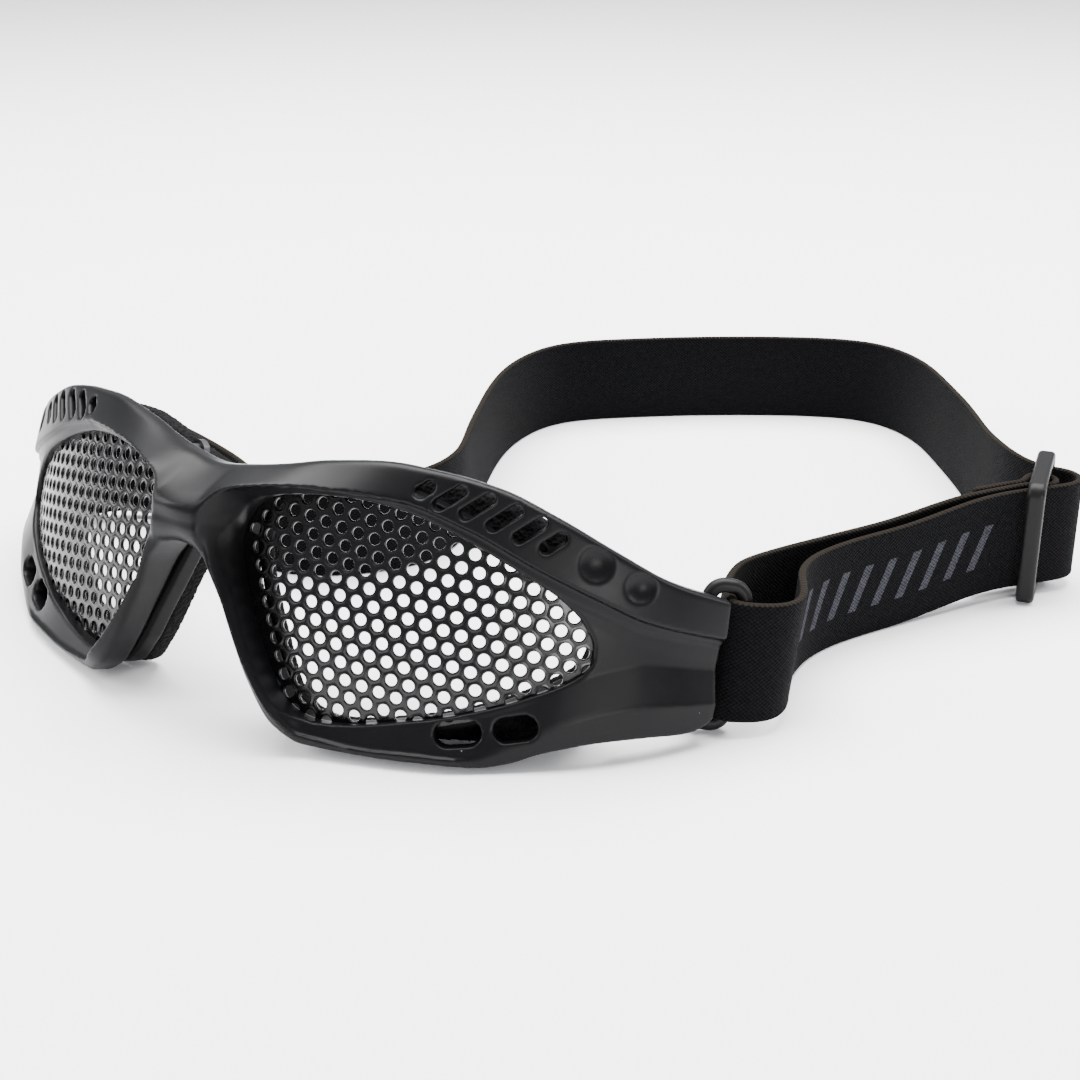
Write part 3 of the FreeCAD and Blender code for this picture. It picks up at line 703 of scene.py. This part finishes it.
def rounded_ends(length_points, radius, edge):
    """Radii that round a tube's ends over a small edge."""
    run = np.asarray(length_points)
    from_end = np.minimum(run - run[0], run[-1] - run)
    t = np.clip(from_end / edge, 0, 1)
    return radius - edge * (1 - np.sqrt(1 - (1 - t) ** 2))


knuckle_z = np.concatenate([np.linspace(0, 0.5, 7), np.linspace(1, 2 * KNUCKLE_HALF_HEIGHT - 1, 12),
                            np.linspace(2 * KNUCKLE_HALF_HEIGHT - 0.5, 2 * KNUCKLE_HALF_HEIGHT, 7)])
knuckle_path = np.stack([np.full_like(knuckle_z, LOOP_PIVOT[0]), np.full_like(knuckle_z, LOOP_PIVOT[1]),
                         LOOP_MIDDLE - KNUCKLE_HALF_HEIGHT + knuckle_z], -1)
mirrored_tube("knuckle", knuckle_path, rounded_ends(knuckle_z, KNUCKLE_RADIUS, 0.45), frame_plastic,
              ("frame", "frame"), 28)


# ---------------------------------------------------------------- strap loops

def loop_path():
    reach = math.dist(LOOP_BAR, LOOP_PIVOT)
    bend = 2.4
    top = LOOP_HALF_HEIGHT
    end = KNUCKLE_HALF_HEIGHT + 0.3
    flat = [(0, end), (0, end + 0.15), (0, end + 0.4), (0, top - bend)]
    flat += [(bend - bend * math.cos(a), top - bend + bend * math.sin(a))
             for a in np.linspace(0.15, math.pi / 2, 9)]
    flat += [(reach - bend + bend * math.sin(a), top - bend + bend * math.cos(a))
             for a in np.linspace(0, math.pi / 2, 9)]
    flat += [(reach, z) for z in np.linspace(top - bend - 1.5, 0, 5)]
    flat += [(x, -z) for x, z in reversed(flat[:-1])]
    flat = np.array(flat)
    side = math.atan2(LOOP_BAR[1] - LOOP_PIVOT[1], LOOP_BAR[0] - LOOP_PIVOT[0])
    return np.stack([LOOP_PIVOT[0] + flat[:, 0] * math.cos(side),
                     LOOP_PIVOT[1] + flat[:, 0] * math.sin(side), LOOP_MIDDLE + flat[:, 1]], -1)


path = loop_path()
radii = np.full(len(path), ROD_RADIUS)
radii[[0, -1]] = ROD_RADIUS - 0.35
radii[[1, -2]] = ROD_RADIUS - 0.1
loops = mirrored_tube("strap_loop_rod", path, radii, loop_plastic,
                      ("loop_left", "loop_right"), 24)
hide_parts("strap_loop_left")
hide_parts("strap_loop_right")


# ---------------------------------------------------------------- perforated lenses

def lens_cells():
    """Hexagonal cells over the left lens: each a ring of points about a hole, front and back."""
    turn_c, turn_s = math.cos(HOLE_ROW_ANGLE), math.sin(HOLE_ROW_ANGLE)
    sides = 24
    around = np.arange(sides) * 2 * math.pi / sides + HOLE_ROW_ANGLE
    centres = []
    for row in range(-16, 17):
        for column in range(-20, 21):
            a = HOLE_PITCH * (column + row / 2)
            b = HOLE_PITCH * math.sqrt(3) / 2 * row
            centres.append((HOLE_ANCHOR[0] + a * turn_c - b * turn_s,
                            HOLE_ANCHOR[1] + a * turn_s + b * turn_c))
    centres = np.array(centres)
    away = polygon_distance(eye_outline, centres[:, 0], centres[:, 1])
    near = away < LENS_LAP + 1.6
    centres, away = centres[near], away[near]
    # hexagon with its corners halfway between the six neighbours
    toward = np.arange(6) * math.pi / 3 + HOLE_ROW_ANGLE
    hexagon = []
    for a in around:
        gap = (a - toward + math.pi) % (2 * math.pi) - math.pi
        hexagon.append(HOLE_PITCH / 2 / math.cos(np.abs(gap).min()))
    hexagon = np.array(hexagon)
    edge = HOLE_RADIUS - PAINT_THICKNESS
    rim = [(edge + 0.34, 0.0), (edge + 0.25, 0.03), (edge + 0.15, 0.02), (edge + 0.055, -0.055),
           (edge + 0.01, -0.17), (edge, -0.3)]
    depth = LENS_FRONT - LENS_BACK
    profile = [(hexagon, 0.0)] + [(np.minimum(hexagon, r), h) for r, h in rim]
    profile += [(np.minimum(hexagon, r), -depth - h) for r, h in reversed(rim[:-1])] + [(hexagon, -depth)]
    points, faces = [], []
    for (cs, cz), out in zip(centres, away):
        base = len(points)
        drilled = out < (LAST_HOLE if cs > 16 else LAST_NOSE_HOLE)
        rows = profile if drilled else [profile[0], profile[-1]]
        for radius, height in rows:
            for a, r in zip(around, np.broadcast_to(radius, around.shape)):
                points.append((cs + r * math.cos(a), cz + r * math.sin(a), LENS_FRONT + height))
        for i in range(len(rows) - 1 if drilled else 0):
            for j in range(sides):
                k = (j + 1) % sides
                faces.append((base + i * sides + j, base + i * sides + k,
                              base + (i + 1) * sides + k, base + (i + 1) * sides + j))
        if not drilled:
            for level, height in ((0, 0.0), (1, -depth)):
                points.append((cs, cz, LENS_FRONT + height))
                middle = len(points) - 1
                start = base + level * sides
                for j in range(0, sides, 2):
                    ring = [start + j, start + j + 1, start + (j + 2) % sides, middle]
                    faces.append(tuple(ring if level == 0 else ring[::-1]))
    points = np.array(points)
    # pull whatever lies past the lap back on to the sheet's cut edge
    for _ in range(3):
        over = polygon_distance(eye_outline, points[:, 0], points[:, 1])
        nudge = 0.05
        ds = (polygon_distance(eye_outline, points[:, 0] + nudge, points[:, 1]) - over) / nudge
        dz = (polygon_distance(eye_outline, points[:, 0], points[:, 1] + nudge) - over) / nudge
        size = np.maximum(np.hypot(ds, dz), 0.3)
        allowed = LENS_NOSE_LAP + (LENS_LAP - LENS_NOSE_LAP) * smooth_step((points[:, 0] - 15) / 4)
        excess = np.maximum(over - allowed, 0) / size ** 2
        points[:, 0] -= ds * excess
        points[:, 1] -= dz * excess
    return points, np.array(faces)


cell_points, cell_faces = lens_cells()
lens_sides = both_sides(cell_points[:, 0], cell_points[:, 1], cell_points[:, 2], cell_faces[:, ::-1])
for side, (points, faces) in zip(("left", "right"), lens_sides):
    lens = make_mesh(f"lens_mesh_{side}", points, faces, lens_steel)
    clean(lens)
    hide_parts(f"mesh_lens_{side}")
    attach(lens, "frame")


# ---------------------------------------------------------------- lens retainers and foam

RING_STEP = 0.42
ring_s = np.arange(-2.0, 76.0, RING_STEP)
ring_z = np.arange(-8.0, 42.5, RING_STEP)
ring_flat_s, ring_flat_z = np.meshgrid(ring_s, ring_z, indexing="ij")
ring_eye = polygon_distance(eye_outline, ring_flat_s, ring_flat_z)
NOSE = np.array([(-3.6, 23.0), (3.6, 23.0), (5.2, 19.8), (8.4, 12.6), (13.4, 2.6), (18, -4),
                 (19, -20), (-19, -20), (-18, -4), (-13.4, 2.6), (-8.4, 12.6), (-5.2, 19.8)])


def clear_of_nose_and_table(solid, s, z, d):
    """Cuts a ring back from the nose and level above the table."""
    x, y = face_plan(s, z, d)
    solid = smooth_max(solid, -polygon_distance(NOSE, x, z), 0.5)
    height = COS * z - SIN * y + CHEEK_DROP
    return smooth_max(solid, 1.1 - height, 0.5)


def pad_outline(s, z):
    """Distance outside the pad's edge, which follows the frame's outline a little way in."""
    top_z, _ = rail(BROW_TOP, s)
    end_z, _ = rail(BOTTOM_EDGE, s)
    ends = np.maximum(s - 71.0, 4.5 - s)
    return smooth_max(smooth_max(z - top_z + 2.2, end_z + 0.5 - z, 1.0), ends, 2.0)


def ring_field(inner, outer, low, high, edge, bosses):
    """Field of the retainer, with bosses for its screws, or of the foam, which has none.

    inner and outer are distances from the eye opening, low and high are d and edge rounds it.
    """
    def field(s, z, d):
        eye = ring_eye[..., None]
        # the foam bulges a little way into the opening beside the nose
        bulge = 0.0 if bosses else 0.8 * smooth_step((17.0 - s) / 4)
        ring = np.maximum(inner - bulge - eye, eye - outer if bosses else pad_outline(s, z))
        if bosses:
            for at_s, at_z in SCREW_PLACES:
                ring = smooth_min(ring, np.hypot(s - at_s, z - at_z) - 2.5, 0.8)
            ring = np.maximum(ring, inner - eye)
            ring = smooth_max(ring, z - rail(BROW_TOP, s)[0] + 1.7, 0.6)
        solid = smooth_max(ring, np.maximum(low - d, d - high), edge)
        if bosses:
            for at_s, at_z in SCREW_PLACES:
                bore = np.maximum(np.hypot(s - at_s, z - at_z) - 1.85, d + 3.4)
                solid = smooth_max(solid, -bore, 0.2)
        return clear_of_nose_and_table(solid, s, z, d)
    return field


def ring_pair(name, node_name, field, low, high, material, rounds, fluff=0.0):
    ring_d = np.arange(low - 1.0, high + 1.0, RING_STEP)
    points, faces = half_net(field, ring_s, ring_z, ring_d, RING_STEP)
    made = []
    pair = both_sides(points[:, 0], points[:, 1], points[:, 2], faces)
    for side, (where, quads) in zip(("left", "right"), pair):
        thing = make_mesh(f"{name}_{side}", where, quads, material)
        relax(thing, rounds)
        if fluff:
            roughen(thing, fluff)
        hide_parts(f"{node_name}_{side}")
        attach(thing, "frame")
        made.append(thing)
    return made


def roughen(thing, amount):
    """Open-cell foam's uneven skin: each point moves a little along its normal."""
    count = len(thing.data.vertices)
    normals = np.array([v.normal[:] for v in thing.data.vertices])
    points = np.array([v.co[:] for v in thing.data.vertices])
    noise = np.random.default_rng(7).normal(0, 1, count)
    points += normals * (noise * amount * MM)[:, None]
    thing.data.vertices.foreach_set("co", points.astype(np.float32).ravel())
    thing.data.update()


ring_pair("retainer_ring", "lens_retainer", ring_field(0.4, 2.8, RETAINER_BACK, RETAINER_FRONT, 0.5, True),
          RETAINER_BACK, RETAINER_FRONT, retainer_plastic, 4)
pads = ring_pair("foam_pad", "foam_gasket", ring_field(0.7, 4.4, FOAM_BACK, FOAM_FRONT, 1.5, False),
                 FOAM_BACK, FOAM_FRONT, foam, 3, 0.05)


# ---------------------------------------------------------------- screws

for side in ("left", "right"):
    screws = frame["nodes"][f"retainer_screws_{side}"]
    screws.data.materials.clear()
    screws.data.materials.append(screw_steel)
    edge = screws.modifiers.new("edge", "BEVEL")
    edge.width, edge.segments, edge.limit_method = 0.00012, 2, "ANGLE"


# ---------------------------------------------------------------- strap

def route_points():
    """Dense, evenly spaced plan points of the strap's route and their distance along it."""
    p = np.array(STRAP_ROUTE, float)
    chord = np.concatenate([[0], np.cumsum(np.linalg.norm(np.diff(p, axis=0), axis=1) ** 0.5)])
    # natural cubic spline on the centripetal parameter
    h = np.diff(chord)
    n = len(p)
    system = np.eye(n)
    right = np.zeros((n, 2))
    for i in range(1, n - 1):
        system[i, i - 1:i + 2] = h[i - 1], 2 * (h[i - 1] + h[i]), h[i]
        right[i] = 6 * ((p[i + 1] - p[i]) / h[i] - (p[i] - p[i - 1]) / h[i - 1])
    bend = np.linalg.solve(system, right)
    at = np.linspace(0, chord[-1], 12001)
    i = np.clip(np.searchsorted(chord, at) - 1, 0, n - 2)
    a, b = (chord[i + 1] - at)[:, None], (at - chord[i])[:, None]
    hi = h[i][:, None]
    curve = (bend[i] * a ** 3 + bend[i + 1] * b ** 3) / (6 * hi) \
        + (p[i] / hi - bend[i] * hi / 6) * a + (p[i + 1] / hi - bend[i + 1] * hi / 6) * b
    run = np.concatenate([[0], np.cumsum(np.linalg.norm(np.diff(curve, axis=0), axis=1))])
    spacing = 0.6
    even = np.linspace(0, run[-1], int(run[-1] / spacing))
    return np.stack([np.interp(even, run, curve[:, k]) for k in range(2)], -1), even


def rounded_band(half_width, half_thick):
    """Outline of the strap's section: a flat band with thicker rolled edges."""
    across, out = [], []
    for side in (1, -1):
        for v in np.linspace(-half_width + 0.9, half_width - 0.9, 15):
            across.append(side * v)
            out.append(side * half_thick * 0.93)
        for a in np.linspace(math.pi / 2, -math.pi / 2, 9):
            across.append(side * (half_width - 0.62 + 0.62 * math.cos(a)))
            out.append(side * half_thick * math.sin(a))
    return np.array(across), np.array(out)


route, run = route_points()
tangent = np.gradient(route, axis=0)
tangent /= np.linalg.norm(tangent, axis=1)[:, None]
loop_away = np.hypot(np.abs(route[:, 0]) - LOOP_BAR[0], route[:, 1] - ROUTE_BAR_Y)
lean = LEAN_BACK * (1 - smooth_step((loop_away - 6) / 30))
slider_away = np.hypot(route[:, 0] - SLIDER_CENTRE[0], route[:, 1] - SLIDER_CENTRE[1])
loop_lift = LOOP_LIFT - np.clip(route[:, 1] - ROUTE_BAR_Y, -3.0, 1.0) * math.sin(2 * LEAN_BACK) / 2
lift = np.maximum(SLIDER_LIFT * (1 - smooth_step((slider_away - 14) / 24)),
                  loop_lift * (1 - smooth_step((loop_away - 6) / 24)))
lift = np.convolve(np.pad(lift, 8, mode="edge"), np.ones(17) / 17, "valid")
middle = np.stack([route[:, 0] + SHIFT_X, route[:, 1] + np.tan(lean) * lift + SHIFT_Y,
                   STRAP_WIDTH / 2 + lift], -1)
upward = np.stack([np.zeros(len(lean)), np.sin(lean), np.cos(lean)], -1)
sideways = np.stack([-tangent[:, 1], tangent[:, 0], np.zeros(len(tangent))], -1)


def strap_piece(name, start, end):
    """Length of strap from one distance along the route to another, closed only at a cut end."""
    pick = np.where((run >= start - 1e-9) & (run <= end + 1e-9))[0]
    across, out = rounded_band(STRAP_WIDTH / 2, STRAP_THICKNESS / 2)
    count = len(across)
    points = (middle[pick][:, None] + upward[pick][:, None] * across[None, :, None]
              + sideways[pick][:, None] * out[None, :, None]).reshape(-1, 3) * MM
    i = np.arange(len(pick) - 1)[:, None] * count
    j = np.arange(count)[None, :]
    k = (j + 1) % count
    faces = np.stack([i + j, i + k, i + count + k, i + count + j], -1).reshape(-1, 4)
    uv = np.stack([np.repeat(run[pick], count), np.tile(across, len(pick))], -1) * MM
    outer = np.tile((out > 0).astype(np.float32), len(pick))
    tips = []
    cut_ends = [base for base, cut in ((0, start <= 0), (len(points) - count, end >= run[-1])) if cut]
    for base in cut_ends:
        for m in range(count // 2 - 1):
            tips.append([base + m, base + m + 1, base + count - 2 - m, base + count - 1 - m])
    if tips:
        faces = np.concatenate([faces, tips])
    thing = make_mesh(name, points, faces, elastic, uv)
    attribute = thing.data.attributes.new("outer", "FLOAT", "POINT")
    attribute.data.foreach_set("value", outer)
    return thing


def run_near(x, y, after=0.0):
    away = np.hypot(route[:, 0] - x, route[:, 1] - y)
    away[run < after] = 1e9
    return run[away.argmin()]


far_fold_end = run_near(-47, 59, 20)
back_start = run_near(-26.6, 155)
turn_start = run_near(94, 136.2)
turn_end = run_near(100.3, 121.4)
near_start = run_near(77.9, 77.5, turn_end)
near_end = run_near(69.4, 69, near_start)
tail_start = run_near(92.6, 114.6, near_end)

elastic = strap_material(run_near(95.6, 114.5, turn_end) * MM, run_near(81.6, 58.6, turn_end) * MM)
far_fold = strap_piece("strap_far_fold", 0, far_fold_end)
side_run = strap_piece("strap_side_run", far_fold_end, back_start)
back_run = strap_piece("strap_back_run", back_start, turn_start)
u_turn = strap_piece("strap_u_turn", turn_start, turn_end)
outer_run = strap_piece("strap_outer_run", turn_end, near_start)
near_fold = strap_piece("strap_near_fold", near_start, near_end)
inner_run = strap_piece("strap_inner_run", near_end, tail_start)
sewn_end = strap_piece("strap_sewn_end", tail_start, run[-1])
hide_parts("head_strap")
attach(side_run, "frame")
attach(u_turn, "slider")
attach(sewn_end, "slider")
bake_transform(far_fold)
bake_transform(near_fold)
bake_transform(back_run)
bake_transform(outer_run)
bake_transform(inner_run)


# ---------------------------------------------------------------- stitching

def stitches(name, node_name, places, body):
    """Rows of short sewn threads that dip into the strap at both ends."""
    points, faces = [], []
    total = 0
    for where in places:
        i = np.abs(run - where).argmin()
        for height in np.linspace(-STITCH_SPAN / 2, STITCH_SPAN / 2, STITCHES_PER_ROW):
            t = np.linspace(-1, 1, 9)
            rise = 0.30 * np.sqrt(np.clip(1 - t ** 2, 0, 1)) - 0.02
            line = (middle[i] + upward[i] * (height + 0.75 * t)[:, None]
                    + sideways[i] * (STRAP_THICKNESS / 2 * 0.93 + rise)[:, None]
                    + np.append(tangent[i], 0) * (0.12 * t)[:, None])
            p, f = tube(line * MM, np.full(9, 0.16 * MM), 8)
            points.append(p)
            faces.append(f + total)
            total += len(p)
    thing = make_mesh(name, np.concatenate(points), np.concatenate(faces), thread)
    clean(thing)
    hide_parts(node_name)
    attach(thing, body)


stitches("slider_thread", "slider_end_stitching",
         (run_near(92.6, 117.8, tail_start + 10), run_near(95.0, 121.4, tail_start + 10)), "slider")
stitches("anchor_thread", "anchor_end_stitching",
         (run_near(-59.4, 59.7), run_near(-64.2, 59.7)), "frame")


# ---------------------------------------------------------------- slider

def slider_field(a, z, t):
    """Three-bar slider: a along its long side, z up and t through it."""
    def slab(x, z0, half_x, half_z, corner):
        qx, qz = np.abs(x) - half_x + corner, np.abs(z0) - half_z + corner
        return np.hypot(np.maximum(qx, 0), np.maximum(qz, 0)) + np.minimum(np.maximum(qx, qz), 0) - corner
    outside = slab(a, z, SLIDER_LENGTH / 2, SLIDER_HEIGHT / 2, 2.6)
    window_a = slab(a - 5.0, z, 3.75, 10.3, 0.9)
    window_b = slab(a + 5.0, z, 3.75, 10.3, 0.9)
    flat = smooth_max(outside, -np.minimum(window_a, window_b), 0.3)
    rail_share = np.maximum(smooth_step((np.abs(a) - 2.5) / 5.0), smooth_step((np.abs(z) - 9.0) / 1.5))
    crown = 1.1 + 0.6 * rail_share
    return smooth_max(flat, np.abs(t) - crown, 1.0)


spacing = 0.26
grid_a = np.arange(-12.5, 12.6, spacing)
grid_h = np.arange(-13.5, 13.6, spacing)
grid_t = np.arange(-2.2, 2.3, spacing)
a3, h3, t3 = np.meshgrid(grid_a, grid_h, grid_t, indexing="ij")
points, faces = surface_net(slider_field(a3, h3, t3), (grid_a[0], grid_h[0], grid_t[0]), spacing)
slider_cos, slider_sin = math.cos(SLIDER_ANGLE), math.sin(SLIDER_ANGLE)
where = np.stack([
    SLIDER_CENTRE[0] + points[:, 0] * slider_cos + points[:, 2] * slider_sin + SHIFT_X,
    SLIDER_CENTRE[1] + points[:, 0] * slider_sin - points[:, 2] * slider_cos + SHIFT_Y,
    points[:, 1] + SLIDER_HEIGHT / 2], -1) * MM
slider = make_mesh("slider_buckle", where, faces, slider_plastic)
relax(slider, 3)
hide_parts("strap_slider")
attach(slider, "slider")


# ---------------------------------------------------------------- floor, light and camera

FLOOR_HALF = 3.0
floor_mesh = bpy.data.meshes.new("floor")
floor_corners = [(x * FLOOR_HALF, y * FLOOR_HALF, 0) for x, y in ((-1, -1), (1, -1), (1, 1), (-1, 1))]
floor_mesh.from_pydata(floor_corners, [], [(0, 1, 2, 3)])
floor = bpy.data.objects.new("floor", floor_mesh)
bpy.context.scene.collection.objects.link(floor)
paper, _, paper_surface = nodes_of("paper")
set_inputs(paper_surface, Base_Color=(0.93, 0.93, 0.94, 1), Roughness=0.9, Specular_IOR_Level=0.1)
floor_mesh.materials.append(paper)

world = bpy.data.worlds.new("studio")
bpy.context.scene.world = world
world.use_nodes = True
set_inputs(world.node_tree.nodes["Background"], Color=(0.95, 0.97, 1.0, 1), Strength=0.86)


def softbox(name, place, aim, width, height, power):
    light = bpy.data.lights.new(name, "AREA")
    light.shape = "RECTANGLE"
    light.size, light.size_y, light.energy = width, height, power
    thing = bpy.data.objects.new(name, light)
    bpy.context.scene.collection.objects.link(thing)
    thing.location = place
    thing.rotation_mode = "QUATERNION"
    thing.rotation_quaternion = (Vector(aim) - Vector(place)).to_track_quat("-Z", "Y")


softbox("overhead", (-0.10, 0.15, 0.75), (0, 0, 0), 0.9, 0.7, 38.0)
softbox("front_left", (-0.65, -0.45, 0.45), (0, -0.03, 0.02), 0.35, 0.5, 8.0)
softbox("back_right", (0.6, 0.5, 0.5), (0, 0, 0.02), 0.4, 0.5, 6.5)
softbox("front_right", (0.62, -0.50, 0.17), (0.05, -0.04, 0.02), 0.32, 0.16, 3.4)

CAMERA_PLACE = (193.31, -188.995, 138.91)
camera_data = bpy.data.cameras.new("photo_camera")
camera_data.lens = 59.4
camera_data.sensor_width = 36.0
camera_data.clip_start, camera_data.clip_end = 0.01, 10
camera = bpy.data.objects.new("photo_camera", camera_data)
bpy.context.scene.collection.objects.link(camera)
forward = Vector((-0.50279, 0.76719, -0.39828)).normalized()
right = Vector((0.8364, 0.548, 0.0)).normalized()
up = right.cross(forward).normalized()
right = forward.cross(up).normalized()
camera.matrix_world = Matrix((
    (right.x, up.x, -forward.x, (CAMERA_PLACE[0] + SHIFT_X) * MM),
    (right.y, up.y, -forward.y, (CAMERA_PLACE[1] + SHIFT_Y) * MM),
    (right.z, up.z, -forward.z, (CAMERA_PLACE[2] + CHEEK_DROP) * MM),
    (0, 0, 0, 1)))
bpy.context.scene.camera = camera
